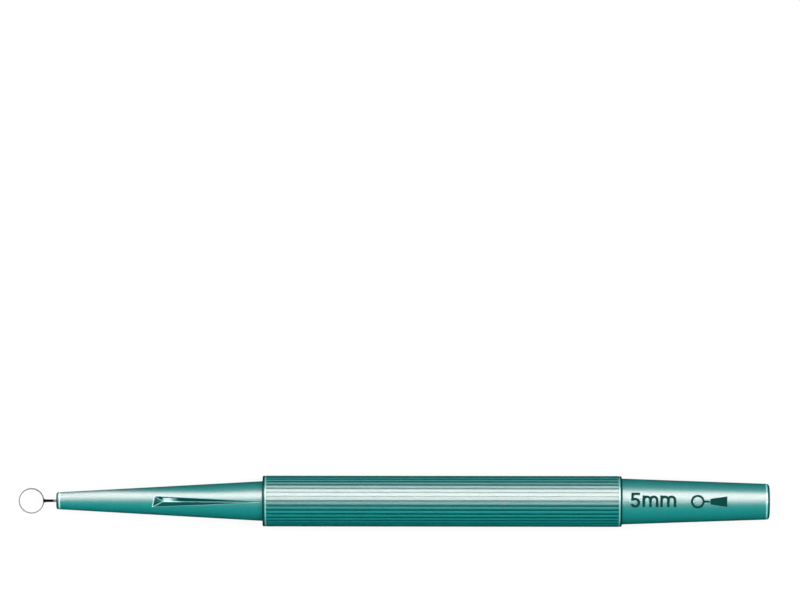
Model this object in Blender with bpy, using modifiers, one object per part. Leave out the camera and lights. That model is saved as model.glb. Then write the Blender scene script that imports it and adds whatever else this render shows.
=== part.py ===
"""Disposable dermal curette: a moulded handle, a steel shank and a ring blade.

Metres, +Z up. The curette lies on its grip, with the ring at the -X end. The origin
is on the table, under the middle of its length.
"""

import math

import bmesh
import bpy
from mathutils import Vector

MM = 0.001

# Ring blade: a slice of thin tube with one edge ground sharp
RING_DIAMETER = 5.0 * MM
RING_WALL = 0.2 * MM
RING_HEIGHT = 1.2 * MM
BEVEL_HEIGHT = 0.35 * MM
CUTTING_EDGE = 0.03 * MM
BLUNT_FILLET = 0.06 * MM

# Shank: a rod that flares out where it is welded to the ring
SHANK_DIAMETER = 0.5 * MM
SHANK_EXPOSED = 2.4 * MM
SHANK_EMBEDDED = 15.0 * MM
FLARE_DIAMETER = 0.82 * MM
FLARE_LENGTH = 0.45 * MM
TAIL_CHAMFER = 0.1 * MM

# Handle, one moulding: a long nose, a ribbed grip and a short rear taper
NOSE_LENGTH = 40.5 * MM
NOSE_TIP_DIAMETER = 3.3 * MM
NOSE_FILLET = 0.42 * MM
NOSE_STEP = 1.1 * MM
GRIP_LENGTH = 70.5 * MM
GRIP_DIAMETER = 10.0 * MM
REAR_LENGTH = 29.0 * MM
REAR_STEP = 0.5 * MM
REAR_TIP_DIAMETER = 7.0 * MM
REAR_FILLET = 0.62 * MM
STEP_FILLET = 0.12 * MM

# Grip: the ribs run between two plain rims, and stand a little proud of them
RIM_WIDTH = 0.75 * MM
RIM_FILLET = 0.25 * MM
RIB_COUNT = 36
RIB_PROUD = 0.03 * MM
RIB_RAMP = 0.1 * MM
RIB_LAND = 0.1 * MM
RIB_CROWN = 0.03 * MM
RIB_FILLET = 0.1 * MM
GROOVE_WIDTH = 0.5 * MM
GROOVE_FLOOR = 0.2 * MM
GROOVE_DEPTH = 0.32 * MM
GROOVE_FILLET = 0.08 * MM

# Mark: a dart-shaped hollow in the nose, on the side of the ring's cutting edge
MARK_LENGTH = 20.3 * MM
MARK_TO_GRIP = 1.0 * MM
MARK_WIDTH = 2.0 * MM
MARK_DEPTH = 1.15 * MM
MARK_HEAD = 1.75 * MM
MARK_FLOOR = 0.14 * MM

# Clearance left between two pieces that touch on the real instrument
FIT_GAP = 0.03 * MM
# How far a cutter reaches past the surface that it cuts
OVERRUN = 0.5 * MM

HANDLE_STEPS = 2 * RIB_COUNT
RING_STEPS = 72
SHANK_STEPS = 24
FILLET_STEPS = 4
FLARE_STEPS = 6

HANDLE_LENGTH = NOSE_LENGTH + GRIP_LENGTH + REAR_LENGTH
OVERALL_LENGTH = RING_DIAMETER + SHANK_EXPOSED + HANDLE_LENGTH
NOSE_FACE_X = RING_DIAMETER + SHANK_EXPOSED - OVERALL_LENGTH / 2
NOSE_ROOT_DIAMETER = GRIP_DIAMETER - 2 * NOSE_STEP
REAR_ROOT_DIAMETER = GRIP_DIAMETER - 2 * REAR_STEP
RIM_DIAMETER = GRIP_DIAMETER - 2 * RIB_PROUD

# A groove faces straight down, so the grip rests on the near edges of two ribs
RIB_PITCH = 2 * math.pi / RIB_COUNT
REST_ANGLE = RIB_PITCH / 2 - RIB_LAND / GRIP_DIAMETER
AXIS_HEIGHT = GRIP_DIAMETER / 2 * math.cos(REST_ANGLE)
# The ring and the mark are in line with a rib, so they lean by half a pitch at rest
BLADE_ROLL = RIB_PITCH / 2

SMOOTH_ANGLE = math.radians(30)

# Name: base colour, metallic, roughness
MATERIALS = {
    "teal_plastic": ((0.012, 0.24, 0.225, 1), 0.35, 0.32),
    "ring_steel": ((0.55, 0.56, 0.58, 1), 1.0, 0.22),
    "shank_steel": ((0.03, 0.03, 0.033, 1), 1.0, 0.38),
}


def rounded(corners, steps=FILLET_STEPS):
    """Outline points for corners given as (along, across, fillet radius)."""
    points = []
    for i, (along, across, fillet) in enumerate(corners):
        corner = Vector((along, across))
        if not fillet:
            points.append(corner)
            continue
        back = (Vector(corners[i - 1][:2]) - corner).normalized()
        ahead = (Vector(corners[i + 1][:2]) - corner).normalized()
        half = back.angle(ahead) / 2
        centre = corner + (back + ahead).normalized() * fillet / math.sin(half)
        spoke = corner + back * fillet / math.tan(half) - centre
        last = corner + ahead * fillet / math.tan(half) - centre
        sweep = -spoke.angle_signed(last)
        for step in range(steps + 1):
            turn = sweep * step / steps
            cos, sin = math.cos(turn), math.sin(turn)
            points.append(
                centre + Vector((spoke.x * cos - spoke.y * sin, spoke.x * sin + spoke.y * cos))
            )
    return points


def place(obj, collection, parent=None, location=(0, 0, 0)):
    collection.objects.link(obj)
    obj.parent = parent
    obj.location = location
    return obj


def add_axis(name, collection, parent=None, location=(0, 0, 0), roll=0):
    """An empty that others hang on, turned about X by the roll."""
    axis = place(bpy.data.objects.new(name, None), collection, parent, location)
    axis.rotation_euler.x = roll
    return axis


def turned(name, points, axis, steps, closed=False):
    """A mesh object whose Screw modifier turns an outline round its local X or Z axis.

    Points are (along the axis, radius), running from low to high on the outer side.
    """
    mesh = bpy.data.meshes.new(name)
    if axis == "X":
        vertices = [(along, 0, -radius) for along, radius in points]
    else:
        vertices = [(radius, 0, along) for along, radius in points]
    edges = [(i, i + 1) for i in range(len(points) - 1)]
    if closed:
        edges.append((len(points) - 1, 0))
    mesh.from_pydata(vertices, edges, [])
    obj = bpy.data.objects.new(name, mesh)
    screw = obj.modifiers.new("Turn", "SCREW")
    screw.axis = axis
    screw.steps = screw.render_steps = steps
    screw.use_merge_vertices = True
    screw.merge_threshold = 1e-7
    screw.use_normal_flip = True
    return obj


def prism(name, outline, start, end):
    """A bar along local X whose section is the outline, given as (height, width) points."""
    bm = bmesh.new()
    face = bm.faces.new([bm.verts.new((start, width, height)) for height, width in outline])
    pushed = bmesh.ops.extrude_face_region(bm, geom=[face])["geom"]
    top = [item for item in pushed if isinstance(item, bmesh.types.BMVert)]
    bmesh.ops.translate(bm, vec=(end - start, 0, 0), verts=top)
    bmesh.ops.recalc_face_normals(bm, faces=bm.faces)
    mesh = bpy.data.meshes.new(name)
    bm.to_mesh(mesh)
    bm.free()
    return bpy.data.objects.new(name, mesh)


def hull(name, points):
    """The convex solid that wraps the points."""
    bm = bmesh.new()
    corners = [bm.verts.new(point) for point in points]
    bmesh.ops.convex_hull(bm, input=corners)
    bmesh.ops.recalc_face_normals(bm, faces=bm.faces)
    mesh = bpy.data.meshes.new(name)
    bm.to_mesh(mesh)
    bm.free()
    return bpy.data.objects.new(name, mesh)


def cut(obj, cutter):
    boolean = obj.modifiers.new("Cut " + cutter.name, "BOOLEAN")
    boolean.operation = "DIFFERENCE"
    boolean.object = cutter
    cutter.hide_render = True
    cutter.display_type = "WIRE"


def add_material(name):
    colour, metallic, roughness = MATERIALS[name]
    material = bpy.data.materials.new(name)
    material.use_nodes = True
    material.diffuse_color = colour
    shader = material.node_tree.nodes["Principled BSDF"]
    shader.inputs["Base Color"].default_value = colour
    shader.inputs["Metallic"].default_value = metallic
    shader.inputs["Roughness"].default_value = roughness
    return material


def finish(obj, material_name):
    """Keeps the modelled shape as a plain mesh, shaded smooth between its sharp edges."""
    bpy.context.view_layer.update()
    evaluated = obj.evaluated_get(bpy.context.evaluated_depsgraph_get())
    mesh = bpy.data.meshes.new_from_object(evaluated)
    obj.modifiers.clear()
    obj.data = mesh
    mesh.name = obj.name
    mesh.shade_smooth()
    mesh.set_sharp_from_angle(angle=SMOOTH_ANGLE)
    mesh.materials.clear()
    mesh.materials.append(add_material(material_name))


def nose_radius(along):
    slope = (NOSE_ROOT_DIAMETER - NOSE_TIP_DIAMETER) / 2 / NOSE_LENGTH
    return NOSE_TIP_DIAMETER / 2 + slope * along


def handle_outline():
    grip_end = NOSE_LENGTH + GRIP_LENGTH
    ribs_start = NOSE_LENGTH + RIM_WIDTH
    ribs_end = grip_end - RIM_WIDTH
    rim, crest = RIM_DIAMETER / 2, GRIP_DIAMETER / 2
    return rounded(
        [
            (0, 0, 0),
            (0, NOSE_TIP_DIAMETER / 2, NOSE_FILLET),
            (NOSE_LENGTH, NOSE_ROOT_DIAMETER / 2, STEP_FILLET),
            (NOSE_LENGTH, rim, RIM_FILLET),
            (ribs_start, rim, 0),
            (ribs_start + RIB_RAMP, crest, 0),
            (ribs_end - RIB_RAMP, crest, 0),
            (ribs_end, rim, 0),
            (grip_end, rim, RIM_FILLET),
            (grip_end, REAR_ROOT_DIAMETER / 2, STEP_FILLET),
            (HANDLE_LENGTH, REAR_TIP_DIAMETER / 2, REAR_FILLET),
            (HANDLE_LENGTH, 0, 0),
        ]
    )


def groove_cutter(cutters, axis):
    """One groove, repeated round the grip. The first faces straight down."""
    crest = GRIP_DIAMETER / 2
    cos, sin = math.cos(REST_ANGLE), math.sin(REST_ANGLE)
    shoulder = math.sqrt((crest - RIB_CROWN) ** 2 - (GROOVE_WIDTH / 2) ** 2)
    side = [
        (-(crest + OVERRUN) * cos, (crest + OVERRUN) * sin, 0),
        (-crest * cos, crest * sin, 0),
        (-shoulder, GROOVE_WIDTH / 2, RIB_FILLET),
        (GROOVE_DEPTH - crest, GROOVE_FLOOR / 2, GROOVE_FILLET),
    ]
    mirrored = [(height, -width, fillet) for height, width, fillet in reversed(side)]
    outline = rounded(side + mirrored)
    start = NOSE_LENGTH + RIM_WIDTH - RIB_RAMP / 2
    end = NOSE_LENGTH + GRIP_LENGTH - RIM_WIDTH + RIB_RAMP / 2
    cutter = place(prism("groove_cutter", outline, start, end), cutters, axis)
    turn = add_axis("groove_turn", cutters, axis, roll=RIB_PITCH)
    repeat = cutter.modifiers.new("Round the grip", "ARRAY")
    repeat.count = RIB_COUNT
    repeat.use_relative_offset = False
    repeat.use_object_offset = True
    repeat.offset_object = turn
    return cutter


def mark_cutter(cutters, axis):
    """A V-shaped wedge: deepest near its head, and running out on the nose at its tip."""
    tip = NOSE_LENGTH - MARK_TO_GRIP
    head_start = tip - MARK_LENGTH
    deepest = head_start + MARK_HEAD
    low = nose_radius(deepest) - MARK_DEPTH
    rise = (nose_radius(tip) - low) / (tip - deepest)

    def valley(along):
        return low + rise * (along - deepest)

    head = math.sqrt(nose_radius(head_start) ** 2 - (MARK_WIDTH / 2) ** 2)
    wall_slope = (MARK_WIDTH - MARK_FLOOR) / 2 / (head - valley(head_start))
    top = nose_radius(tip) + OVERRUN
    end = deepest + (top - low) / rise
    start = head_start - (top - head) * MARK_HEAD / (head - low)
    floor = MARK_FLOOR / 2
    spread = floor + wall_slope * (top - valley(start))
    points = [
        (along, side * half, height)
        for along, half, height in ((start, spread, top), (deepest, floor, low), (end, floor, top))
        for side in (-1, 1)
    ]
    return place(hull("mark_cutter", points), cutters, axis)


def bore_cutter(cutters, axis):
    radius = SHANK_DIAMETER / 2 + FIT_GAP
    depth = SHANK_EMBEDDED + FIT_GAP
    points = [(-OVERRUN, 0), (-OVERRUN, radius), (depth, radius), (depth, 0)]
    return place(turned("bore_cutter", points, "X", SHANK_STEPS), cutters, axis)


def make_handle(parts, cutters, axis, blade_axis):
    handle = place(turned("handle", handle_outline(), "X", HANDLE_STEPS), parts, axis)
    cut(handle, groove_cutter(cutters, axis))
    cut(handle, mark_cutter(cutters, blade_axis))
    cut(handle, bore_cutter(cutters, axis))
    finish(handle, "teal_plastic")


def make_shank(parts, cutters, blade_axis, ring_centre):
    """A rod along the handle's axis, whose flared end is hollowed to fit the ring."""
    radius, flare = SHANK_DIAMETER / 2, FLARE_DIAMETER / 2
    weld = -SHANK_EXPOSED
    points = [(weld - OVERRUN, 0), (weld - OVERRUN, flare)]
    for step in range(FLARE_STEPS + 1):
        share = step / FLARE_STEPS
        points.append((weld + FLARE_LENGTH * share, radius + (flare - radius) * (1 - share) ** 2))
    points += [
        (SHANK_EMBEDDED - TAIL_CHAMFER, radius),
        (SHANK_EMBEDDED, radius - TAIL_CHAMFER),
        (SHANK_EMBEDDED, 0),
    ]
    shank = place(turned("shank", points, "X", SHANK_STEPS), parts, blade_axis)
    saddle_radius = RING_DIAMETER / 2 + FIT_GAP
    reach = FLARE_DIAMETER / 2 + OVERRUN
    saddle = [(-reach, 0), (-reach, saddle_radius), (reach, saddle_radius), (reach, 0)]
    saddle_cutter = turned("saddle_cutter", saddle, "Z", RING_STEPS)
    cut(shank, place(saddle_cutter, cutters, blade_axis, ring_centre))
    finish(shank, "shank_steel")


def make_ring_blade(parts, blade_axis, ring_centre):
    """The sharp edge is the upper one. The shank meets the middle of the wall below it."""
    outer = RING_DIAMETER / 2
    inner = outer - RING_WALL
    wall = RING_HEIGHT - BEVEL_HEIGHT
    points = rounded(
        [
            (-wall / 2, inner, BLUNT_FILLET),
            (-wall / 2, outer, BLUNT_FILLET),
            (wall / 2, outer, 0),
            (wall / 2 + BEVEL_HEIGHT, inner + CUTTING_EDGE, 0),
            (wall / 2 + BEVEL_HEIGHT, inner, 0),
        ]
    )
    ring = turned("ring_blade", points, "Z", RING_STEPS, closed=True)
    finish(place(ring, parts, blade_axis, ring_centre), "ring_steel")


def new_collection(name):
    collection = bpy.data.collections.new(name)
    bpy.context.scene.collection.children.link(collection)
    return collection


def main():
    for obj in list(bpy.data.objects):
        bpy.data.objects.remove(obj)
    parts = new_collection("dermal_curette")
    cutters = new_collection("cutters")
    axis = add_axis("handle_axis", parts, location=(NOSE_FACE_X, 0, AXIS_HEIGHT))
    blade_axis = add_axis("blade_axis", parts, axis, roll=BLADE_ROLL)
    ring_centre = (-SHANK_EXPOSED - RING_DIAMETER / 2, 0, 0)
    make_handle(parts, cutters, axis, blade_axis)
    make_shank(parts, cutters, blade_axis, ring_centre)
    make_ring_blade(parts, blade_axis, ring_centre)


main()
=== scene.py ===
import math

import bmesh
import bpy
import numpy as np
from mathutils import Matrix, Vector


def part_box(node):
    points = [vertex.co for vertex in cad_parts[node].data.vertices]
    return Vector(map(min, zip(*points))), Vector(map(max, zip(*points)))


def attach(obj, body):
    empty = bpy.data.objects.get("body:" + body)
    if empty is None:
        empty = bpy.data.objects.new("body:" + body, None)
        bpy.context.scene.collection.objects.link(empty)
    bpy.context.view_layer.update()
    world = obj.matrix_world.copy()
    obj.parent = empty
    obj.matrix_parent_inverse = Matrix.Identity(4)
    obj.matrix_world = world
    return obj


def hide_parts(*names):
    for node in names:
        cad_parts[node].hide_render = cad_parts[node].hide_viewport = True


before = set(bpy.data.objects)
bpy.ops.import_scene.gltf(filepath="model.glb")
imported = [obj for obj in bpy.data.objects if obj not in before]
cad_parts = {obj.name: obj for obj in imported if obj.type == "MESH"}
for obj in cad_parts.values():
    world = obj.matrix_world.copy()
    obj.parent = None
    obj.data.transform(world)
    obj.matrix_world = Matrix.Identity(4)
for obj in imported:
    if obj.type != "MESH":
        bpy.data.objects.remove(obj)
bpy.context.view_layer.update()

mm = 0.001

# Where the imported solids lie: every place below is measured from these
handleLow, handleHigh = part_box("handle")
noseX = handleLow.x / mm
axisZ = (handleLow.z + handleHigh.z) / 2 / mm
handleLength = (handleHigh.x - handleLow.x) / mm
bladeLean = math.radians(5)  # the ring leans this far towards -Y
markLean = math.radians(3.3)  # and the mark this far


def placed(points):
    # Handle coordinates (along, to the +Y side, up from the axis) to the frame, in metres
    points = np.asarray(points, float)
    return (points + np.array([noseX, 0.0, axisZ])) * mm


def leaned(along, across, up, lean=bladeLean):
    # From an upright that leans towards -Y to the handle's own
    cos, sin = math.cos(lean), math.sin(lean)
    return np.stack([along, across * cos - up * sin, across * sin + up * cos], axis=-1)


def inScene(name, data):
    thing = bpy.data.objects.new(name, data)
    bpy.context.scene.collection.objects.link(thing)
    return thing


# Sockets as numbers: sums and products of these add the Math nodes
class Wire:
    def __init__(self, tree, socket=None):
        self.tree = tree
        self.socket = socket

    def add(self, kind, settings=None, sockets=None, out=0):
        node = self.tree.nodes.new(kind)
        for name, value in (settings or {}).items():
            setattr(node, name, value)
        for name, value in (sockets or {}).items():
            if isinstance(value, Wire):
                self.tree.links.new(value.socket, node.inputs[name])
            else:
                node.inputs[name].default_value = value
        return Wire(self.tree, node.outputs[out] if len(node.outputs) else None)

    def maths(self, operation, first, second):
        return self.add("ShaderNodeMath", {"operation": operation}, {0: first, 1: second})

    def __add__(self, other):
        return self.maths("ADD", self, other)

    def __radd__(self, other):
        return self.maths("ADD", other, self)

    def __sub__(self, other):
        return self.maths("SUBTRACT", self, other)

    def __rsub__(self, other):
        return self.maths("SUBTRACT", other, self)

    def __mul__(self, other):
        return self.maths("MULTIPLY", self, other)

    def __rmul__(self, other):
        return self.maths("MULTIPLY", other, self)

    def clamped(self, low=0.0, high=1.0):
        return self.maths("MINIMUM", self.maths("MAXIMUM", self, low), high)


def newMaterial(name):
    material = bpy.data.materials.new(name)
    material.use_nodes = True
    material.node_tree.nodes.clear()
    return material, Wire(material.node_tree)


def mixColour(wire, factor, first, second):
    # Colours go through a Mix node: its colour sockets are 6 and 7, and its colour output is 2
    return wire.add(
        "ShaderNodeMix",
        {"data_type": "RGBA", "blend_type": "MIX"},
        {0: factor, 6: first, 7: second},
        out=2,
    )


def vectorMaths(wire, operation, sockets, out=0):
    return wire.add("ShaderNodeVectorMath", {"operation": operation}, sockets, out)


def millimetres(wire):
    # The surface's own coordinates, in mm
    place = wire.add("ShaderNodeTexCoord", out="Object")
    return vectorMaths(wire, "SCALE", {0: place, "Scale": 1 / mm})


def noiseOn(wire, place, scale, detail=2.0, roughness=0.5):
    return wire.add(
        "ShaderNodeTexNoise",
        {"noise_dimensions": "3D"},
        {"Vector": place, "Scale": scale, "Detail": detail, "Roughness": roughness},
        out="Fac",
    )


def contrasted(noise, gain):
    return ((noise - 0.5) * gain + 0.5).clamped()


def painted(wire, name, out="Fac"):
    # What the mesh carries under this name
    return wire.add("ShaderNodeAttribute", {"attribute_name": name}, out=out)


def bumpOf(wire, height, strength, depth):
    sockets = {"Strength": strength, "Distance": depth * mm, "Height": height}
    return wire.add("ShaderNodeBump", None, sockets)


print("stage: camera and light")

stand = {
    "cameraX": 1.12,  # from the middle of the instrument's length
    "cameraHeight": 1400.0,  # above the handle's axis
    "frameWidth": 157.2,  # across the picture at the handle's axis
    "aimY": 39.54,  # the picture's middle lies this far to the +Y side
    "roll": 0.078,
    "sensor": 36.0,
    "clips": (0.05, 20.0),  # m
}


def makeCamera():
    height = (stand["cameraHeight"] + axisZ) * mm
    eye = Vector((stand["cameraX"] * mm, 0, height))
    aim = Vector((stand["cameraX"] * mm, stand["aimY"] * mm, axisZ * mm))
    camera = bpy.data.cameras.new("camera")
    camera.sensor_width = stand["sensor"]
    camera.lens = stand["sensor"] * stand["cameraHeight"] / stand["frameWidth"]
    camera.clip_start, camera.clip_end = stand["clips"]
    holder = inScene("camera", camera)
    back = (eye - aim).normalized()
    right = Vector((1, 0, 0))
    pose = Matrix((right, back.cross(right), back)).transposed().to_4x4()
    pose = pose @ Matrix.Rotation(math.radians(stand["roll"]), 4, "Z")
    pose.translation = eye
    holder.matrix_world = pose
    bpy.context.scene.camera = holder


# Soft boxes: the middle of each (m), its size along and across (m), how white it looks from
# the handle, and which rays see it. No two share one place
lamps = {
    "top_box": {
        "at": (0.0, 0.01, 1.04),
        "size": (2.0, 0.7),
        "white": 2.9,
        "diffuse": True,
        "glossy": False,
    },
    "sheen_high": {
        "at": (0.0, 0.68, 0.97),
        "size": (2.4, 0.86),
        "white": 117.0,
        "diffuse": False,
        "glossy": True,
    },
    "sheen_low": {
        "at": (0.74, 0.095, 1.08),
        "aim": (0.74, 0.0, 0.0),  # m: faced, where it isn't the handle's middle
        "size": (1.3, 0.38),
        "white": 90.0,
        "diffuse": False,
        "glossy": True,
    },
    "left_box": {
        "at": (-1.1, 0.2, 0.75),
        "size": (0.7, 1.4),
        "white": 1.5,
        "diffuse": True,
        "glossy": True,
    },
    "right_box": {
        "at": (1.1, 0.2, 0.75),
        "size": (0.7, 1.4),
        "white": 1.5,
        "diffuse": True,
        "glossy": True,
    },
}


def makeLamp(name, box):
    light = bpy.data.lights.new(name, "AREA")
    light.shape = "RECTANGLE"
    light.size, light.size_y = box["size"]
    # An area lamp's own whiteness is its power over four times its area
    light.energy = box["white"] * 4 * light.size * light.size_y
    # Sampled from the lamp's side only, a sheen box stays out of the diffuse light
    light.cycles.use_multiple_importance_sampling = box["diffuse"]
    lamp = inScene(name, light)
    at = Vector(box["at"])
    lamp.location = at
    aim = Vector(box.get("aim", (0, 0, axisZ * mm)))
    lamp.rotation_euler = (aim - at).to_track_quat("-Z", "Y").to_euler()
    lamp.visible_camera = False
    lamp.visible_diffuse = box["diffuse"]
    lamp.visible_glossy = box["glossy"]
    return lamp


def seenDirectly(wire):
    # 1 where the camera, a reflection or a refraction looks, 0 for the light that bounces
    camera = wire.add("ShaderNodeLightPath", out="Is Camera Ray")
    glossy = wire.add("ShaderNodeLightPath", out="Is Glossy Ray")
    through = wire.add("ShaderNodeLightPath", out="Is Transmission Ray")
    return (camera + glossy + through).clamped()


surround = {
    "world": 0.06,
    "floorBounce": 0.08,
    "shadowShare": 0.12,
    "floorHalf": 3.0,  # m: half the floor's side
}


def makeSurround():
    world = bpy.data.worlds.new("surround")
    bpy.context.scene.world = world
    world.use_nodes = True
    world.node_tree.nodes.clear()
    wire = Wire(world.node_tree)
    dim = surround["world"]
    shade = mixColour(wire, seenDirectly(wire), (dim, dim, dim, 1), (1, 1, 1, 1))
    back = wire.add("ShaderNodeBackground", None, {"Color": shade})
    wire.add("ShaderNodeOutputWorld", None, {"Surface": back})

    material, wire = newMaterial("floor")
    glow = wire.add("ShaderNodeEmission", None, {"Color": (1, 1, 1, 1)})
    white = wire.add("ShaderNodeBsdfDiffuse", None, {"Color": (1, 1, 1, 1)})
    share = surround["shadowShare"]
    seen = wire.add("ShaderNodeMixShader", None, {0: share, 1: glow, 2: white})
    bounce = surround["floorBounce"]
    plain = wire.add("ShaderNodeBsdfDiffuse", None, {"Color": (bounce, bounce, bounce, 1)})
    both = wire.add("ShaderNodeMixShader", None, {0: seenDirectly(wire), 1: plain, 2: seen})
    wire.add("ShaderNodeOutputMaterial", None, {"Surface": both})
    half = surround["floorHalf"]
    corners = [(-half, -half, 0), (half, -half, 0), (half, half, 0), (-half, half, 0)]
    mesh = bpy.data.meshes.new("floor")
    mesh.from_pydata(corners, [], [(0, 1, 2, 3)])
    mesh.materials.append(material)
    floor = inScene("floor", mesh)


makeCamera()
lampObjects = {name: makeLamp(name, box) for name, box in lamps.items()}
makeSurround()


print("stage: handle")

handle = {
    "noseLength": 40.5,
    "noseTip": 1.65,  # radius at the tip of the nose, and next at its root
    "noseRoot": 3.9,
    "noseFillet": 0.42,
    "bore": 0.28,  # radius
    "boreDepth": 15.03,
    "boreEdge": 0.05,
    "gripLength": 70.5,
    "grip": 5.0,  # radius over the ribs
    "rimProud": 0.03,  # the ribs stand this far above the rims
    "rimWidth": 0.75,
    "rimFillet": 0.25,
    "ribRamp": 0.1,
    "ribs": 36,
    "rearRoot": 4.5,  # radius where the rear taper starts, and next at its end
    "rearTip": 3.5,
    "rearFillet": 0.62,
    "rearFlat": 0.6,  # radius of the innermost row of the rear face
    "stepFillet": 0.12,
    "filletSteps": 8,
    "ribRows": 3.0,  # between rows along the plain length of the ribs
    "grooveRun": 0.14,  # the grooves deepen over this length at each rim
    "grooveRunRows": 5,
    "taperRows": 1.0,
    "markRows": 0.15,
    "noseColumns": 108,
    "markColumns": 72,
    "rearColumns": 144,
    # Grooves that face the light take nearly the crests' sheen and lose part of their painted shade
    "grooveGlowAt": (-8.0, 0.0, 10.0, 20.0, 30.0, 40.0, 50.0),  # from the top towards +Y
    "grooveGlow": (0.05, 0.35, 0.95, 0.8, 0.3, 0.05, 0.0),
    "grooveGlowPales": 0.7,  # how much of a groove's shade full glow takes away
    "ribTurn": (-180, -20, -5, 5, 12, 25, 45, 64, 95, 180),  # a rib this far towards +Y
    "ribSheenTurn": (-180, -20, -3.5, 8, 13.5, 23, 37, 47, 80, 180),  # shines as if it lay here
    "tipSheenAt": (0.0, 10.0, 18.0, 30.0),  # along the nose
    "tipSheenShare": (0.5, 0.47, 0.28, 0.0),
    "tipSheenTurn": (-120, -100, -5, 5),  # sets in and fades out here, from the top towards -Y
}

# Half a groove and half a rib, from the groove's middle: aside, deep, sheen, shade. The
# grooves are painted darker, as painted shade, and take little sheen; the crests are slightly
# crowned
ribSection = [
    (0.0, 0.32, 0.5, 0.55),
    (0.1, 0.315, 0.5, 0.55),
    (0.125, 0.29, 0.02, 0.75),
    (0.17, 0.05, 0.02, 0.7),
    (0.19, 0.02, 0.3, 0.35),
    (0.225, 0.005, 0.95, 0.0),
    (0.32, 0.001, 1.0, 0.0),
]

# The dart-shaped hollow in the nose, on the side of the ring's cutting edge
mark = {
    "start": 19.1,
    "slant": 0.2,  # the head's edge runs this much further along per mm towards +Y
    "rimLeast": 1.0,  # height kept by that edge where it is further aside than the nose there
    "deepest": 20.95,
    "tip": 39.5,
    "halfWidth": 1.0,
    "floor": 0.07,
    "depth": 1.15,
    "edgeRound": 0.05,
    "creaseRound": 0.04,
    "upperFrom": 0.3,  # only the nose's upper side is cut: the least cosine of the turn
    "rowsBefore": 0.9,  # the mark's own rows start this far before it
    "fineBefore": 0.3,  # and those of its head, which lie closer
    "rowsAfter": 0.4,
    "rowsClear": 0.1,  # between these rows and the nose's other ones
    "columnsAside": 0.5,  # where the width to be crowded with columns is measured
    "columnsWider": 1.25,
    "columnsSpare": 0.05,  # radians
}

# Painted highlights and painted shade in the mark: how strong each is, how wide, and where it lies
markTones = {
    "setIn": 0.06,  # depth at which the tones are full
    "crease": 0.8,
    "creaseWidth": 0.08,
    "creaseUnder": 0.05,  # it runs down to this far under the floor
    "glint": 0.85,
    "glintRun": (-0.2, 0.2, 1.4, 3.0),  # past the deepest place: sets in, full, full, gone
    "glintAside": (-0.05, 0.75),
    "glintTurn": 16,  # the glint takes the sheen of a surface turned this far towards +Y
    "valley": 0.6,
    "valleyWidth": 0.12,
    "valleyTo": 3.3,
    "valleyFade": 0.25,
    "edgeWidth": 0.07,
    "backEdge": 0.85,
    "backEdgeAt": 0.02,
    "backEdgeWidth": 0.16,
    "lowEdge": 0.08,
    "lowEdgeDull": 0.8,
    "lowEdgeDullFrom": -0.1,
    "headDull": 0.75,
    "headFade": 0.75,  # how much of its shade the head loses down to the deepest place
    "wallDull": 0.9,
    "wallShade": 0.75,
    "wallFrom": 0.16,  # aside: from here out the walls' tones are full
}

# Painted highlights beside the moulding's round edges, and painted shade on the edges themselves:
# distance from the face, length of the line, its strength, and how dark the edge itself is
paleLines = {
    "noseFace": (0.64, 0.12, 1.0, 0.75),
    "leftRim": (0.62, 0.12, 0.5, 0.9),
    "rightRim": (0.5, 0.09, 0.55, 1.0),
    "rearFace": (0.63, 0.12, 0.8, 0.8),
}
paleRows = {"count": 9, "reach": 2.2}  # rows across a line, and its lengths to either side
# The painted shade on the round edges, beside their painted highlights
darkEdge = {
    "clear": 1.5,  # a line's lengths between its middle and the dark
    "blend": 0.1,
    "filletShare": 0.9,  # of the fillet, from the side inwards, that takes these tones
}


def filleted(corners, steps):
    # Outline from (along, radius, fillet) corners, each fillet an arc
    points = []
    for i, (along, radius, fillet) in enumerate(corners):
        corner = Vector((along, radius))
        if not fillet:
            points.append((along, radius))
            continue
        back = (Vector(corners[i - 1][:2]) - corner).normalized()
        ahead = (Vector(corners[i + 1][:2]) - corner).normalized()
        half = back.angle(ahead) / 2
        reach = fillet / math.tan(half)
        centre = corner + (back + ahead).normalized() * fillet / math.sin(half)
        first, last = corner + back * reach - centre, corner + ahead * reach - centre
        sweep = first.angle(last)
        for step in range(steps + 1):
            share = step / steps
            spoke = first * math.sin((1 - share) * sweep) + last * math.sin(share * sweep)
            points.append(tuple(centre + spoke / math.sin(sweep)))
    return points


def spaced(points, gap, near=0.03):
    # The same outline with more points on its long straight runs, and one close to each end
    dense = [points[0]]
    for (a0, r0), (a1, r1) in zip(points, points[1:]):
        run = math.hypot(a1 - a0, r1 - r0)
        if run > 4 * near:
            count = max(1, round(run / gap))
            shares = [near / run] + [i / count for i in range(1, count)] + [1 - near / run]
            dense += [(a0 + (a1 - a0) * t, r0 + (r1 - r0) * t) for t in shares]
        dense.append((a1, r1))
    return dense


def radiusTable(outline):
    # Places along the outline and its radius there, in order and without repeats
    table = sorted({round(along, 4): radius for along, radius in outline}.items())
    return [along for along, _ in table], [radius for _, radius in table]


def withRows(outline, places, apart=0.015):
    # The same outline with extra points at these places, where it has none as near as this
    known, radii = radiusTable(outline)
    extra = [at for at in places if all(abs(at - a) > apart for a in known)]
    found = np.interp(extra, known, radii)
    return sorted(list(outline) + [(float(a), float(r)) for a, r in zip(extra, found)])


def softMax(a, b, blur):
    return (a + b + np.sqrt((a - b) ** 2 + blur ** 2)) / 2


def softMin(a, b, blur):
    return (a + b - np.sqrt((a - b) ** 2 + blur ** 2)) / 2


def bell(x, middle, width):
    return np.exp(-(((x - middle) / width) ** 2))


def lineRows(name):
    # Rows across one pale line, by their distance from its face
    middle, width = paleLines[name][:2]
    return middle + np.linspace(-paleRows["reach"], paleRows["reach"], paleRows["count"]) * width


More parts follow.
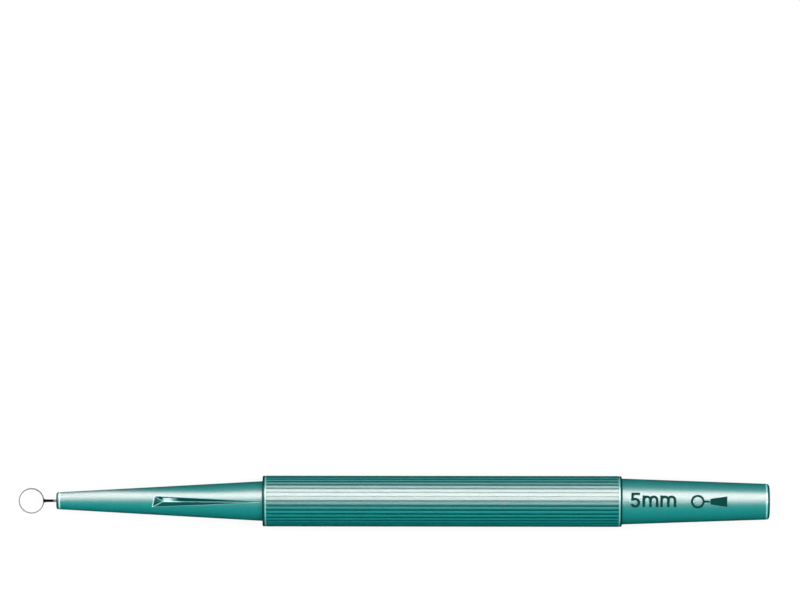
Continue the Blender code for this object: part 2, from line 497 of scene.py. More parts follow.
def edgeTones(name, distance, onSide):
    # Painted highlight, sheen and painted shade at this distance from a face. The face itself is
    # plain
    middle, width, strength, dark = paleLines[name]
    clear = middle - darkEdge["clear"] * width
    shade = dark * np.clip((clear - distance) / darkEdge["blend"], 0, 1)
    return (strength * bell(distance, middle, width), 1 - shade, shade) if onSide else (0, 1, 0)


def noseRadius(along):
    slope = (handle["noseRoot"] - handle["noseTip"]) / handle["noseLength"]
    return handle["noseTip"] + slope * along


def markPlanes(along, across):
    # Heights above the axis of the mark's floor, sides and head, in the mark's own upright
    low = noseRadius(mark["deepest"]) - mark["depth"]
    rise = (noseRadius(mark["tip"]) - low) / (mark["tip"] - mark["deepest"])
    floor = low + rise * (along - mark["deepest"])
    radius = noseRadius(mark["start"])
    edge = math.sqrt(radius ** 2 - mark["halfWidth"] ** 2)
    floorAtStart = low + rise * (mark["start"] - mark["deepest"])
    steep = (edge - floorAtStart) / (mark["halfWidth"] - mark["floor"])
    sides = floor + steep * (np.abs(across) - mark["floor"])
    # The head falls away from a straight edge on the round nose
    rim = np.sqrt(np.maximum(radius ** 2 - np.square(across), mark["rimLeast"] ** 2))
    fall = (radius - low) / (mark["deepest"] - mark["start"])
    head = rim - fall * (along - mark["start"] - mark["slant"] * across)
    return floor, sides, head, steep


def noseAngles(along):
    # The columns crowd round the mark and close in on it as it narrows. 0 is the mark's middle
    radius = noseRadius(along)
    floor, _, _, steep = markPlanes(np.clip(along, mark["start"], mark["tip"]), 0.0)
    height = math.sqrt(radius ** 2 - mark["columnsAside"] ** 2)
    half = (height - floor) / steep + mark["floor"]
    reach = mark["columnsWider"] * max(float(half), 0.0) / radius + mark["columnsSpare"]
    inner = np.linspace(-reach, reach, handle["markColumns"] + 1)
    outer = np.linspace(reach, 2 * math.pi - reach, handle["noseColumns"] + 1)[1:-1]
    return np.concatenate([inner, outer])


def ribColumns():
    # One rib after another: the columns' angles, their depth below the crests, sheen and shade
    pitch = 2 * math.pi / handle["ribs"]
    side = np.array(ribSection)
    crest = [pitch / 2 * handle["grip"], 0.0, 1.0, 0.0]
    one = np.concatenate([side, [crest], side[:0:-1]])
    aside = one[:, 0] / handle["grip"]
    aside[len(side) + 1:] = pitch - aside[len(side) + 1:]
    angles = np.concatenate([aside + i * pitch for i in range(handle["ribs"])])
    depth, sheen, shade = (np.tile(column, handle["ribs"]) for column in one.T[1:])
    # The grooves a little to the +Y side of the top face the light: they take nearly the crests'
    # sheen and lose part of their painted shade
    groove = (np.round(angles / pitch) * -360 / handle["ribs"] + 180) % 360 - 180
    glow = np.interp(groove, handle["grooveGlowAt"], handle["grooveGlow"], 0, 0)
    sheen = 1 - (1 - sheen) * (1 - glow)
    return angles, depth, sheen, shade * (1 - handle["grooveGlowPales"] * glow)


class Shell:
    # Rings of points, joined to one skin, and the tones that each point carries: painted highlight,
    # sheen, painted shade and facing
    def __init__(self):
        self.points = []
        self.faces = []
        self.tones = {"paintedHighlight": [], "sheen": [], "shade": [], "facing": []}
        self.count = 0

    def ring(self, points, pale=0.0, sheen=1.0, shade=0.0, facing=(0, 0, 0)):
        first = self.count
        self.points.append(points)
        for name, value in (("paintedHighlight", pale), ("sheen", sheen), ("shade", shade)):
            self.tones[name].append(np.broadcast_to(value, len(points)))
        self.tones["facing"].append(np.broadcast_to(facing, (len(points), 3)))
        self.count += len(points)
        return np.arange(first, self.count)

    def join(self, rings):
        # Each ring to the next: all have the same number of points
        for one, two in zip(rings, rings[1:]):
            corners = [one, np.roll(one, -1), np.roll(two, -1), two]
            self.faces += np.stack(corners, axis=1).tolist()

    def stitch(self, one, anglesOne, two, anglesTwo):
        # Rings of different counts, joined by triangles in the order of their angles
        i = j = 0
        while i < len(one) or j < len(two):
            turnOne = anglesOne[(i + 1) % len(one)] + 2 * math.pi * ((i + 1) // len(one))
            turnTwo = anglesTwo[(j + 1) % len(two)] + 2 * math.pi * ((j + 1) // len(two))
            a, b = one[i % len(one)], two[j % len(two)]
            if j >= len(two) or (i < len(one) and turnOne <= turnTwo):
                self.faces.append([int(a), int(one[(i + 1) % len(one)]), int(b)])
                i += 1
            else:
                self.faces.append([int(a), int(two[(j + 1) % len(two)]), int(b)])
                j += 1

    def cap(self, ring, centre, facingBack):
        tip = int(self.ring(np.array([centre]))[0])
        pairs = zip(ring.tolist(), np.roll(ring, -1).tolist())
        self.faces += [[b, a, tip] if facingBack else [a, b, tip] for a, b in pairs]


def around(along, radii, angles):
    # Points round the axis. Angle 0 is straight up, and angles grow towards -Y
    along = np.broadcast_to(along, angles.shape)
    return np.stack([along, -radii * np.sin(angles), radii * np.cos(angles)], axis=1)


def tipFacing(along, angles):
    # Straight up by a share that fades along the nose: this widens the sheen over the tip's
    # upper side
    share = np.interp(along, handle["tipSheenAt"], handle["tipSheenShare"])
    turn = np.degrees((angles + math.pi) % (2 * math.pi) - math.pi)
    share = share * np.interp(turn, handle["tipSheenTurn"], (0, 1, 1, 0))
    return np.stack([0 * share, 0 * share, share], axis=1)


def plainNoseRing(along, radius, pale=0.0, sheen=1.0, shade=0.0):
    # One ring of the nose: the points, their turns, and their pale, sheen, shade and facing
    angles = noseAngles(along)
    across, up = -radius * np.sin(angles), radius * np.cos(angles)
    points = leaned(np.full(len(angles), along), across, up, markLean)
    turns = (angles + markLean) % (2 * math.pi)
    return points, turns, pale, sheen, shade, tipFacing(along, angles)


def markedNoseRing(along):
    # The same with the mark let in, and its painted highlights and painted shade
    look = markTones
    angles = noseAngles(along)
    radius = noseRadius(along)
    across, up = -radius * np.sin(angles), radius * np.cos(angles)
    floor, sides, head, _ = markPlanes(along, across)
    hollow = softMax(softMax(floor, sides, mark["creaseRound"]), head, mark["creaseRound"])
    lowered = softMin(up, hollow, mark["edgeRound"])
    upper = np.cos(angles) > mark["upperFrom"]
    height = np.where(upper, lowered, up)

    inside = upper * np.clip((up - hollow) / look["setIn"], 0, 1)
    onHead = head > sides
    ahead = along - mark["deepest"]
    fromEdge = along - mark["start"] - mark["slant"] * across
    onWall = np.clip(np.abs(across) / look["wallFrom"], 0, 1)
    edge = bell(up - hollow, 0.0, look["edgeWidth"]) * upper

    # Painted highlights: the creases under the head, a glint on the upper wall, the valley, and the
    # edges
    creases = bell(head - sides, 0, look["creaseWidth"])
    creases = creases * (head > floor - look["creaseUnder"]) * look["crease"]
    low, high = look["glintAside"]
    glint = ((across > low) & (across < high) & ~onHead) * look["glint"]
    glint = glint * np.interp(ahead, look["glintRun"], (0, 1, 1, 0))
    valley = bell(across, 0, look["valleyWidth"]) * ~onHead * look["valley"]
    valley = valley / (1 + math.exp((ahead - look["valleyTo"]) / look["valleyFade"]))
    backEdge = edge * bell(fromEdge, look["backEdgeAt"], look["backEdgeWidth"]) * look["backEdge"]
    lowEdge = edge * (across < 0) * look["lowEdge"]
    lines = np.maximum(creases, np.maximum(glint, valley))
    pale = np.clip(inside * lines + backEdge + lowEdge, 0, 1)

    # Painted shade, with less sheen: the head, which fades down its fall, and the walls beside the
    # floor
    headLength = mark["deepest"] - mark["start"]
    headShade = np.clip(1.0 - look["headFade"] * fromEdge / headLength, 0, 1)
    shade = inside * np.where(onHead, headShade, look["wallShade"] * onWall)
    dull = inside * np.where(onHead, look["headDull"], look["wallDull"] * onWall) * (1 - glint)
    lowDull = edge * (across < look["lowEdgeDullFrom"]) * look["lowEdgeDull"]
    sheen = 1 - np.maximum(dull, lowDull)

    points = leaned(np.full(len(angles), along), across, height, markLean)
    turns = (angles + markLean) % (2 * math.pi)
    turn = math.radians(look["glintTurn"])
    facing = tipFacing(along, angles) * (1 - inside)[:, None]
    facing = facing + np.outer(inside * glint, (0, math.sin(turn), math.cos(turn)))
    return points, turns, pale, sheen, shade, facing


def noseProfile():
    spec = handle
    corners = [
        (spec["boreDepth"], spec["bore"], 0),
        (0.0, spec["bore"], spec["boreEdge"]),
        (0.0, spec["noseTip"], spec["noseFillet"]),
        (spec["noseLength"], spec["noseRoot"], spec["stepFillet"]),
        (spec["noseLength"], spec["grip"] - spec["rimProud"], 0),
    ]
    return filleted(corners, spec["filletSteps"])[:-1]


def gripProfile():
    spec = handle
    start = spec["noseLength"]
    end = start + spec["gripLength"]
    rim, crest, ramp = spec["grip"] - spec["rimProud"], spec["grip"], spec["ribRamp"]
    corners = [
        (start, spec["noseRoot"], 0),
        (start, rim, spec["rimFillet"]),
        (start + spec["rimWidth"], rim, 0),
        (start + spec["rimWidth"] + ramp, crest, 0),
        (end - spec["rimWidth"] - ramp, crest, 0),
        (end - spec["rimWidth"], rim, 0),
        (end, rim, spec["rimFillet"]),
        (end, spec["rearRoot"], 0),
    ]
    return filleted(corners, spec["filletSteps"])[1:-1]


def rearProfile():
    spec = handle
    start = spec["noseLength"] + spec["gripLength"]
    corners = [
        (start, spec["grip"], 0),
        (start, spec["rearRoot"], spec["stepFillet"]),
        (handleLength, spec["rearTip"], spec["rearFillet"]),
        (handleLength, spec["rearFlat"], 0),
    ]
    return filleted(corners, spec["filletSteps"])[1:]


def noseRings(shell):
    spec = handle
    outline = spaced(noseProfile(), spec["taperRows"])
    bore = [p for p in outline if p[1] < spec["noseTip"] / 2]
    skin = outline[len(bore):]
    rows, start, ends = spec["markRows"], mark["start"], mark["rowsAfter"]
    marked = np.arange(start - mark["rowsBefore"], mark["tip"] + ends, rows)
    fine = np.arange(start - mark["fineBefore"], mark["deepest"] + ends, rows / 2)
    marked = np.unique(np.round(np.concatenate([marked, fine]), 4))
    bend = spec["noseFillet"] / 2
    front = [p for p in skin if p[0] <= bend]
    side = [p for p in skin if p[0] > bend]
    side = withRows(side, [at for at in lineRows("noseFace") if at > side[0][0]])
    before = [p for p in side if p[0] < marked[0] - mark["rowsClear"]]
    after = [p for p in skin if p[0] > marked[-1] + mark["rowsClear"]]
    sideFrom = spec["noseTip"] - spec["noseFillet"] * darkEdge["filletShare"]
    rings = []
    for along, radius in bore + front + before:
        tones = edgeTones("noseFace", along, radius > sideFrom)
        rings.append(plainNoseRing(along, radius, *tones))
    rings += [markedNoseRing(along) for along in marked]
    rings += [plainNoseRing(along, radius) for along, radius in after]
    made = [shell.ring(points, *tones) for points, _, *tones in rings]
    shell.cap(made[0], (spec["boreDepth"], 0, 0), facingBack=True)
    shell.join(made)
    return made[-1], rings[-1][1]


def gripRings(shell):
    spec = handle
    angles, depth, sheen, shade = ribColumns()
    start = spec["noseLength"]
    end = start + spec["gripLength"]
    face = spec["rimWidth"] - spec["ribRamp"] / 2
    outline = spaced(gripProfile(), spec["ribRows"])
    inner = [along for along, _ in outline if start < along < end]
    run = face + np.linspace(0, 1, spec["grooveRunRows"]) * spec["grooveRun"]
    lines = [start + lineRows("leftRim"), end - lineRows("rightRim")]
    alongs = np.unique(np.round(np.concatenate([inner, start + run, end - run, *lines]), 4))
    rows = [(start, r) for along, r in outline if along <= start and r < spec["grip"]]
    rows += zip(alongs, np.interp(alongs, *radiusTable(outline)))
    rows += [(end, r) for along, r in outline if along >= end]
    # The ribs' upper side is turned a little to the light, so that the sheen reaches further up
    turn = (180 - np.degrees(angles)) % 360 - 180
    sheenTurn = -np.radians(np.interp(turn, spec["ribTurn"], spec["ribSheenTurn"]))
    made = []
    for along, radius in rows:
        inward = min(along - start, end - along)
        # The grooves' share of their full depth, eased from the rim inwards
        share = np.clip((inward - face) / spec["grooveRun"], 0, 1)
        share = share * share * (3 - 2 * share)
        name = "leftRim" if along - start < end - along else "rightRim"
        onRim = radius > spec["grip"] - spec["rimFillet"]
        # Painted highlight and painted shade at the rims
        pale, gloss, dark = edgeTones(name, inward, onRim)
        place = around(along, radius - depth * share, angles)
        facing = around(0.0, share, sheenTurn)
        # Less sheen and painted shade in the grooves, as deep as they are
        gloss = gloss * (1 - (1 - sheen) * share)
        dark = np.maximum(dark, shade * share)
        made.append(shell.ring(place, pale * (1 - share), gloss, dark, facing))
    shell.join(made)
    return made[0], made[-1], angles


def rearRings(shell):
    spec = handle
    angles = np.arange(spec["rearColumns"]) * 2 * math.pi / spec["rearColumns"]
    outline = spaced(rearProfile(), spec["taperRows"])
    bend = handleLength - spec["rearFillet"] / 2
    foot = [p for p in outline if p[1] >= spec["rearRoot"]]
    taper = [p for p in outline if p[0] < bend and p[1] < spec["rearRoot"]]
    taper = [p for p in withRows(taper, handleLength - lineRows("rearFace")) if p[0] < bend]
    face = [p for p in outline if p[0] >= bend]
    sideFrom = spec["rearTip"] - spec["rearFillet"] * darkEdge["filletShare"]
    made = []
    for along, radius in foot + taper + face:
        tones = edgeTones("rearFace", handleLength - along, radius > sideFrom)
        made.append(shell.ring(around(along, radius, angles), *tones))
    shell.join(made)
    shell.cap(made[-1], (handleLength, 0, 0), facingBack=False)
    return made[0], angles


def meshPiece(name, shell, material, tones=None):
    mesh = bpy.data.meshes.new(name)
    mesh.from_pydata(placed(np.concatenate(shell.points)).tolist(), [], shell.faces)
    for label, values in (tones or {}).items():
        values = np.concatenate(values).astype(np.float32)
        kind, field = ("FLOAT", "value") if values.ndim == 1 else ("FLOAT_VECTOR", "vector")
        mesh.attributes.new(label, kind, "POINT").data.foreach_set(field, values.ravel())
    bm = bmesh.new()
    bm.from_mesh(mesh)
    bmesh.ops.recalc_face_normals(bm, faces=bm.faces)
    bm.to_mesh(mesh)
    bm.free()
    mesh.shade_smooth()
    mesh.materials.append(material)
    return inScene(name, mesh)


def makeHandle(material):
    shell = Shell()
    noseEnd, noseTurn = noseRings(shell)
    gripStart, gripEnd, gripTurn = gripRings(shell)
    rearStart, rearTurn = rearRings(shell)
    # The nose's last ring is stitched from its lowest turn on
    first = int(np.argmin(noseTurn))
    shell.stitch(np.roll(noseEnd, -first), np.roll(noseTurn, -first), gripStart, gripTurn)
    shell.stitch(gripEnd, gripTurn, rearStart, rearTurn)
    piece = meshPiece("moulded_handle", shell, material, shell.tones)
    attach(piece, "root")
    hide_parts("handle")
    return piece


plastic = {
    "teal": (0.004, 0.25, 0.235, 1),
    "deepTeal": (0.002, 0.19, 0.18, 1),
    # The colour the painted shade darkens towards, in the grooves, the mark and on the round edges
    "groove": (0.001, 0.035, 0.033, 1),
    # The pale teal of the painted highlights beside the round edges and in the mark
    "paintedHighlight": (0.42, 0.86, 0.83, 1),
    "contrast": 1.5,
    "cloudShare": 0.25,
    "cloudPerMm": 0.25,
    "grainPerMm": 3.0,
    "finePerMm": 7.5,
    "fineShare": 0.6,  # of the bump
    "bump": 0.035,
    "bumpDepth": 0.02,
    "bodyRoughness": 0.5,
    "pearl": (0.96, 0.8, 0.8, 1),
    "pearlShare": 0.007,
    "pearlSpread": 0.5,  # how far the grain moves that share
    "roughness": 0.38,  # of the pearl
    "roughSpread": 0.14,  # and how far the grain moves it
}


def sheenNormal(wire):
    # The normal that the sheen takes: the surface's own, turned to the direction kept in
    # "facing" by its length. The ribs share the round normal of the grip, so that the sheen
    # runs over the grooves
    kept = painted(wire, "facing", out="Vector")
    turned = wire.add(
        "ShaderNodeVectorTransform",
        {"vector_type": "VECTOR", "convert_from": "OBJECT", "convert_to": "WORLD"},
        {"Vector": kept},
    )
    weight = vectorMaths(wire, "LENGTH", {0: kept}, out="Value")
    own = wire.add("ShaderNodeNewGeometry", out="Normal")
    rest = vectorMaths(wire, "SCALE", {0: own, "Scale": 1 - weight})
    both = vectorMaths(wire, "ADD", {0: rest, 1: turned})
    return vectorMaths(wire, "NORMALIZE", {0: both})


def makePlastic():
    look = plastic
    material, wire = newMaterial("teal_plastic")
    place = millimetres(wire)
    grain = noiseOn(wire, place, look["grainPerMm"], detail=3.0, roughness=0.6)
    cloud = noiseOn(wire, place, look["cloudPerMm"])
    fine = noiseOn(wire, place, look["finePerMm"], detail=1.0)
    mottle = contrasted(grain, look["contrast"]) * (1 - look["cloudShare"])
    teal = mixColour(wire, mottle + cloud * look["cloudShare"], look["deepTeal"], look["teal"])
    # Painted shade towards the groove colour, then painted highlights towards a pale teal
    shaded = mixColour(wire, painted(wire, "shade").clamped(), teal, look["groove"])
    edged = mixColour(wire, painted(wire, "paintedHighlight").clamped(), shaded, look["paintedHighlight"])
    height = fine * look["fineShare"] + grain * (1 - look["fineShare"])
    body = wire.add(
        "ShaderNodeBsdfPrincipled",
        None,
        {
            "Base Color": edged,
            "Roughness": look["bodyRoughness"],
            "Specular IOR Level": 0.0,
            "Normal": bumpOf(wire, height, look["bump"], look["bumpDepth"]),
        },
    )
    pearl = wire.add(
        "ShaderNodeBsdfPrincipled",
        None,
        {
            "Base Color": look["pearl"],
            "Metallic": 1.0,
            "Specular Tint": (0.0, 0.0, 0.0, 1),
            "Roughness": grain * look["roughSpread"] + (look["roughness"] - look["roughSpread"] / 2),
            "Normal": sheenNormal(wire),
        },
    )
    flakes = grain * look["pearlSpread"] + (1 - look["pearlSpread"] / 2)
    share = flakes * look["pearlShare"] * painted(wire, "sheen").clamped()
    both = wire.add("ShaderNodeMixShader", None, {0: share, 1: body, 2: pearl})
    wire.add("ShaderNodeOutputMaterial", None, {"Surface": both})
    return material


handlePiece = makeHandle(makePlastic())


print("stage: shank and ring")

ring = {
    "centre": -4.9,  # from the nose's face
    "outer": 2.5,  # radius
    "wall": 0.2,
    "height": 1.2,
    "bevel": 0.35,
    "edge": 0.03,
    "honed": 0.07,  # width of the fine second bevel at the cutting edge
    "honedEdge": 0.4,  # what it leaves of the edge
    "fillet": 0.06,
    "bevelFillets": (0.08, 0.15, 0.015),  # where the bevel, the honed one and the edge start
    "filletSteps": 4,
    "rows": 0.12,
    "endRows": 0.012,
    "columns": 240,
    "sharpFrom": 30,
}

shank = {
    "radius": 0.265,
    "exposed": 2.4,
    "embedded": 15.0,
    "flare": 0.41,  # radius at the ring
    "flareLength": 0.45,
    "flareRows": 14,
    "plainRows": 10,
    "tail": 0.1,
    "weldGap": 0.03,
    # Painted reflection: the steel is painted paler towards the nose, as if lit by the plastic
    "reflectionFrom": -0.75,  # from the nose's face: here the steel starts to pick up the plastic's light
    "reflectionTo": -0.2,
    "columns": 64,
    "capRings": 8,
    "sharpFrom": 40,
}

ringSteel = {
    "colour": (0.34, 0.35, 0.37, 1),
    "dark": (0.12, 0.12, 0.13, 1),
    "contrast": 1.6,
    "linesPerMm": (2.0, 2.0, 40.0),  # few of them along a line, many across it
    "roughness": 0.25,
    "roughSpread": 0.2,
    "bump": 0.2,
    "bumpDepth": 0.005,
}

shankSteel = {
    "colour": (0.006, 0.006, 0.0065, 1),
    "dark": (0.002, 0.002, 0.0022, 1),
    # The colour of the painted reflection of the nose's light on the steel
    "paintedReflection": (0.3, 0.33, 0.32, 1),
    "contrast": 1.4,
    "linesPerMm": (1.0, 45.0, 45.0),
    "roughness": 0.42,
    "roughSpread": 0.2,
    "bump": 0.3,
    "bumpDepth": 0.005,
}


def makeSteel(name, look):
    # Steel with fine lines along one direction: stretched noise moves its tone and its gloss.
    # With a painted reflection, it turns paler where it comes out of the nose, as if lit by the
    # plastic
    material, wire = newMaterial(name)
    place = millimetres(wire)
    stretched = vectorMaths(wire, "MULTIPLY", {0: place, 1: look["linesPerMm"]})
    streaks = noiseOn(wire, stretched, 1.0, detail=3.0, roughness=0.6)
    shade = mixColour(wire, contrasted(streaks, look["contrast"]), look["dark"], look["colour"])
    if "paintedReflection" in look:
        along = wire.add("ShaderNodeSeparateXYZ", None, {0: place}, out="X")
        start, end = noseX + shank["reflectionFrom"], noseX + shank["reflectionTo"]
        share = ((along - start) * (1 / (end - start))).clamped()
        shade = mixColour(wire, share, shade, look["paintedReflection"])
    rough = (streaks - 0.5) * look["roughSpread"] + look["roughness"]
    body = wire.add(
        "ShaderNodeBsdfPrincipled",
        None,
        {
            "Base Color": shade,
            "Metallic": 1.0,
            "Roughness": rough.clamped(),
            "Normal": bumpOf(wire, streaks, look["bump"], look["bumpDepth"]),
        },
    )
    wire.add("ShaderNodeOutputMaterial", None, {"Surface": body})
    return material


def shankProfile():
    # (along, radius) from the ring to the end inside the nose
    spec = shank
    flare = spec["flare"] - spec["radius"]
    start = spec["flareLength"] - spec["exposed"]
    plain = spec["embedded"] - spec["tail"] - start
    outline = []
    for i in range(spec["flareRows"] + 1):
        share = i / spec["flareRows"]
        along = -spec["exposed"] + spec["flareLength"] * share
        outline.append((along, spec["radius"] + flare * (1 - share) ** 2))
    for i in range(1, spec["plainRows"] + 1):
        outline.append((start + plain * i / spec["plainRows"], spec["radius"]))
    outline.append((spec["embedded"], spec["radius"] - spec["tail"]))
    return outline


def seatAt(across):
    # The ring's round wall, as the shank meets it
    return ring["centre"] + np.sqrt((ring["outer"] + shank["weldGap"]) ** 2 - across ** 2)


def makeShank(material):
    spec = shank
    outline = shankProfile()
    turns = np.arange(spec["columns"]) * 2 * math.pi / spec["columns"]
    cos, sin = np.cos(turns), np.sin(turns)
    shell = Shell()
    made = []
    for i in range(1, spec["capRings"] + 1):
        radius = outline[0][1] * i / spec["capRings"]
        across, up = radius * sin, radius * cos
        made.append(shell.ring(leaned(seatAt(across), across, up)))
    for i, (along, radius) in enumerate(outline[1:], 1):
        across, up = radius * sin, radius * cos
        fade = max(0.0, 1 - i / spec["flareRows"])
        shift = (seatAt(across) + spec["exposed"]) * fade
        made.append(shell.ring(leaned(along + shift, across, up)))
    shell.cap(made[0], (seatAt(0.0), 0, 0), facingBack=True)
    shell.join(made)
    shell.cap(made[-1], (spec["embedded"], 0, 0), facingBack=False)
    piece = meshPiece("drawn_shank", shell, material)
    piece.data.set_sharp_from_angle(angle=math.radians(spec["sharpFrom"]))
    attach(piece, "root")
    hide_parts("shank")
    return piece


def ringProfile():
    # (height, radius) round the section of the wall: a plain band, ground to a sharp edge at
    # its top
    spec = ring
    inner = spec["outer"] - spec["wall"]
    band = spec["height"] - spec["bevel"]
    top = band / 2 + spec["bevel"]
    slope = (spec["wall"] - spec["edge"]) / spec["bevel"]
    honed = spec["honed"]
    bevelFillet, honedFillet, edgeFillet = spec["bevelFillets"]
    corners = [
        (0.0, inner, 0),
        (-band / 2, inner, spec["fillet"]),
        (-band / 2, spec["outer"], spec["fillet"]),
        (band / 2, spec["outer"], bevelFillet),
        (top - honed, inner + spec["edge"] + honed * slope, honedFillet),
        (top, inner + spec["edge"] * spec["honedEdge"], edgeFillet),
        (top, inner, 0),
    ]
    return spaced(filleted(corners, spec["filletSteps"]), spec["rows"], near=spec["endRows"])


def makeRing(material):
    turns = np.arange(ring["columns"]) * 2 * math.pi / ring["columns"]
    shell = Shell()
    made = []
    for height, radius in ringProfile():
        along = ring["centre"] + radius * np.cos(turns)
        across = radius * np.sin(turns)
        made.append(shell.ring(leaned(along, across, np.full(len(turns), height))))
    shell.join(made + made[:1])
    piece = meshPiece("honed_ring", shell, material)
    piece.data.set_sharp_from_angle(angle=math.radians(ring["sharpFrom"]))
    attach(piece, "root")
    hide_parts("ring_blade")
    return piece


ringMaterial = makeSteel("ring_steel", ringSteel)
shankMaterial = makeSteel("shank_steel", shankSteel)
makeShank(shankMaterial)
makeRing(ringMaterial)


def lightOnly(lamp, piece):
    # The strong boxes that make the sheen light only the plastic
    group = bpy.data.collections.new(lamp.name + "_pieces")
    group.objects.link(piece)
    lamp.light_linking.receiver_collection = group


for name in ("sheen_high", "sheen_low"):
    lightOnly(lampObjects[name], handlePiece)


print("stage: size mark")

film = {
    "proud": 0.012,
    "sunk": 0.01,
    "slices": 0.15,  # between the cuts that let the film follow the round taper
    "cutWithin": 1e-5,  # a corner this near a cut lies on it
    "weldWithin": 1e-4,  # and corners this near each other are one
}

sizeMark = {
    "stroke": 0.52,
    "fiveAt": (112.55, -1.22),  # from the nose's face, and towards +Y
    "fiveHeight": 3.0,
    "fiveBar": 1.92,
    "fiveStem": (0.26, 0.18),  # its left edge at the top and at the foot
    "fiveFoot": 1.42,
    "fiveBowl": 0.98,
    "fiveBowlTurns": (130, -162),  # where its inside starts at the stem, and where it ends
    "emsAt": (114.95, 118.45),
    "emWidth": 3.15,
    "emHeight": 2.3,
    "emFoot": -1.1,
    "arcSteps": 14,
}

inkLook = {
    "deep": (0.0012, 0.036, 0.03, 1),
    "light": (0.003, 0.06, 0.052, 1),
    "grainPerMm": 6.0,
    "bump": 0.2,
    "bumpDepth": 0.01,
    "roughness": 0.45,
    "roughSpread": 0.2,
    "gloss": 0.05,
}


def arc(centre, radius, start, end, steps):
    # Points on an arc
    turns = np.radians(np.linspace(start, end, steps + 1))
    return [(centre[0] + radius * math.cos(t), centre[1] + radius * math.sin(t)) for t in turns]


def emOutline():
    # A small m: three legs under two arches
    t, steps = sizeMark["stroke"], sizeMark["arcSteps"]
    pitch = (sizeMark["emWidth"] - t) / 2
    outer, inner = (pitch + t) / 2, (pitch - t) / 2
    height = sizeMark["emHeight"]
    one = ((t + pitch) / 2, height - outer)
    two = (one[0] + pitch, one[1])
    spring = math.degrees(math.acos(-inner / outer))
    crossing = math.degrees(math.acos(pitch / 2 / outer))
    points = [(0, 0), (0, height), (t, height)]
    points += arc(one, outer, spring, crossing, steps)
    points += arc(two, outer, 180 - crossing, 0, steps)[1:]
    points += [(2 * pitch + t, 0), (2 * pitch, 0)]
    points += arc(two, inner, 0, 180, steps)
    points += [(pitch + t, 0), (pitch, 0)]
    points += arc(one, inner, 0, 180, steps)
    points += [(t, 0)]
    return points


def fiveOutline():
    # The bar and the stem, run into the round bowl
    t, height, bowl = sizeMark["stroke"], sizeMark["fiveHeight"], sizeMark["fiveBowl"]
    steps = sizeMark["arcSteps"] * 2
    top, low = sizeMark["fiveStem"]
    first, last = sizeMark["fiveBowlTurns"]
    meets = math.degrees(math.acos((low + t - bowl) / bowl))
    points = [(sizeMark["fiveBar"], height), (top, height), (low, sizeMark["fiveFoot"])]
    points += arc((bowl, bowl), bowl - t, first, last, steps)
    points += arc((bowl, bowl), bowl, last, meets, steps)
    points += [(top + t, height - t), (sizeMark["fiveBar"], height - t)]
    return points


def moved(outline, along, across):
    return [(x + along, y + across) for x, y in outline]


def rearRadius(along):
    start = handle["noseLength"] + handle["gripLength"]
    slope = (handle["rearRoot"] - handle["rearTip"]) / (handleLength - start)
    return handle["rearRoot"] - slope * (along - start)


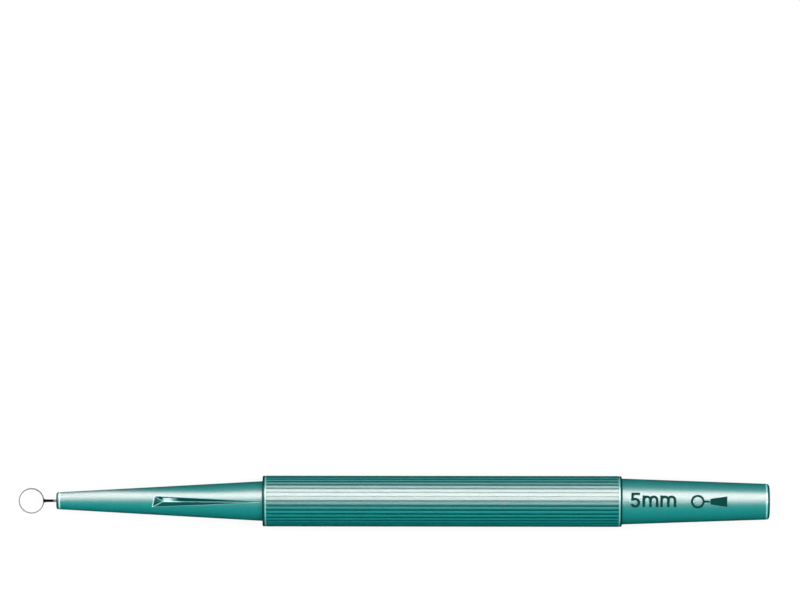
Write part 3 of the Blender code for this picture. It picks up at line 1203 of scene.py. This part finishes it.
def wrapped(name, outlines, material):
    # Flat outlines, given along the handle and towards +Y, laid on the rear taper as thin film
    bm = bmesh.new()
    for outline in outlines:
        bm.faces.new([bm.verts.new((along, across, 0)) for along, across in outline])
    spread = [across for outline in outlines for _, across in outline]
    cut = min(spread) + film["slices"]
    while cut < max(spread):
        bmesh.ops.bisect_plane(
            bm,
            geom=bm.verts[:] + bm.edges[:] + bm.faces[:],
            dist=film["cutWithin"],
            plane_co=(0, cut, 0),
            plane_no=(0, 1, 0),
        )
        cut += film["slices"]
    bmesh.ops.remove_doubles(bm, verts=bm.verts, dist=film["weldWithin"])
    bmesh.ops.triangulate(bm, faces=bm.faces)
    pushed = bmesh.ops.extrude_face_region(bm, geom=bm.faces[:])["geom"]
    raised = {item for item in pushed if isinstance(item, bmesh.types.BMVert)}
    for vertex in bm.verts:
        off = film["proud"] if vertex in raised else -film["sunk"]
        along, across = vertex.co.x, vertex.co.y
        radius = rearRadius(along) + off
        turn = across / rearRadius(along)
        vertex.co = Vector(placed([along, radius * math.sin(turn), radius * math.cos(turn)]))
    bmesh.ops.recalc_face_normals(bm, faces=bm.faces)
    mesh = bpy.data.meshes.new(name)
    bm.to_mesh(mesh)
    bm.free()
    mesh.materials.append(material)
    piece = inScene(name, mesh)
    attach(piece, "root")
    return piece


def makeInk():
    look = inkLook
    material, wire = newMaterial("dark_ink")
    grain = noiseOn(wire, millimetres(wire), look["grainPerMm"])
    body = wire.add(
        "ShaderNodeBsdfPrincipled",
        None,
        {
            "Base Color": mixColour(wire, grain, look["deep"], look["light"]),
            "Roughness": grain * look["roughSpread"] + look["roughness"],
            "Specular IOR Level": look["gloss"],
            "Normal": bumpOf(wire, grain, look["bump"], look["bumpDepth"]),
        },
    )
    wire.add("ShaderNodeOutputMaterial", None, {"Surface": body})
    return material


ink = makeInk()
fiveShape = moved(fiveOutline(), *sizeMark["fiveAt"])
emShapes = [moved(emOutline(), at, sizeMark["emFoot"]) for at in sizeMark["emsAt"]]
wrapped("size_mark", [fiveShape, *emShapes], ink)


# A plain pictogram of the tool, nearer the rear end: a ring, its stem and part of the handle
pictogram = {
    "ringAt": (125.8, 0.0),
    "ringOuter": 1.35,
    "ringInner": 0.9,
    "stemTo": 128.3,
    "stemHalf": 0.2,
    "stemOverlap": 0.04,  # it runs this far into the ring and the body
    "bodyTo": 131.6,
    "bodyHalf": (0.55, 1.05),
    "arcSteps": 28,
}


def pictogramOutlines():
    spec = pictogram
    steps, overlap = spec["arcSteps"], spec["stemOverlap"]
    at, outer, inner = spec["ringAt"], spec["ringOuter"], spec["ringInner"]
    upper = arc(at, outer, 0, 180, steps) + arc(at, inner, 180, 0, steps)
    lower = arc(at, outer, 180, 360, steps) + arc(at, inner, 360, 180, steps)
    start, end, half = at[0] + outer - overlap, spec["stemTo"] + overlap, spec["stemHalf"]
    stem = [(start, -half), (end, -half), (end, half), (start, half)]
    near, far = spec["bodyHalf"]
    front, rear = spec["stemTo"], spec["bodyTo"]
    body = [(front, -near), (rear, -far), (rear, far), (front, near)]
    return [upper, lower, stem, body]


wrapped("ring_pictogram", pictogramOutlines(), ink)


print("stage: finish")
bpy.context.scene.view_settings.view_transform = "Standard"
bpy.context.view_layer.update()
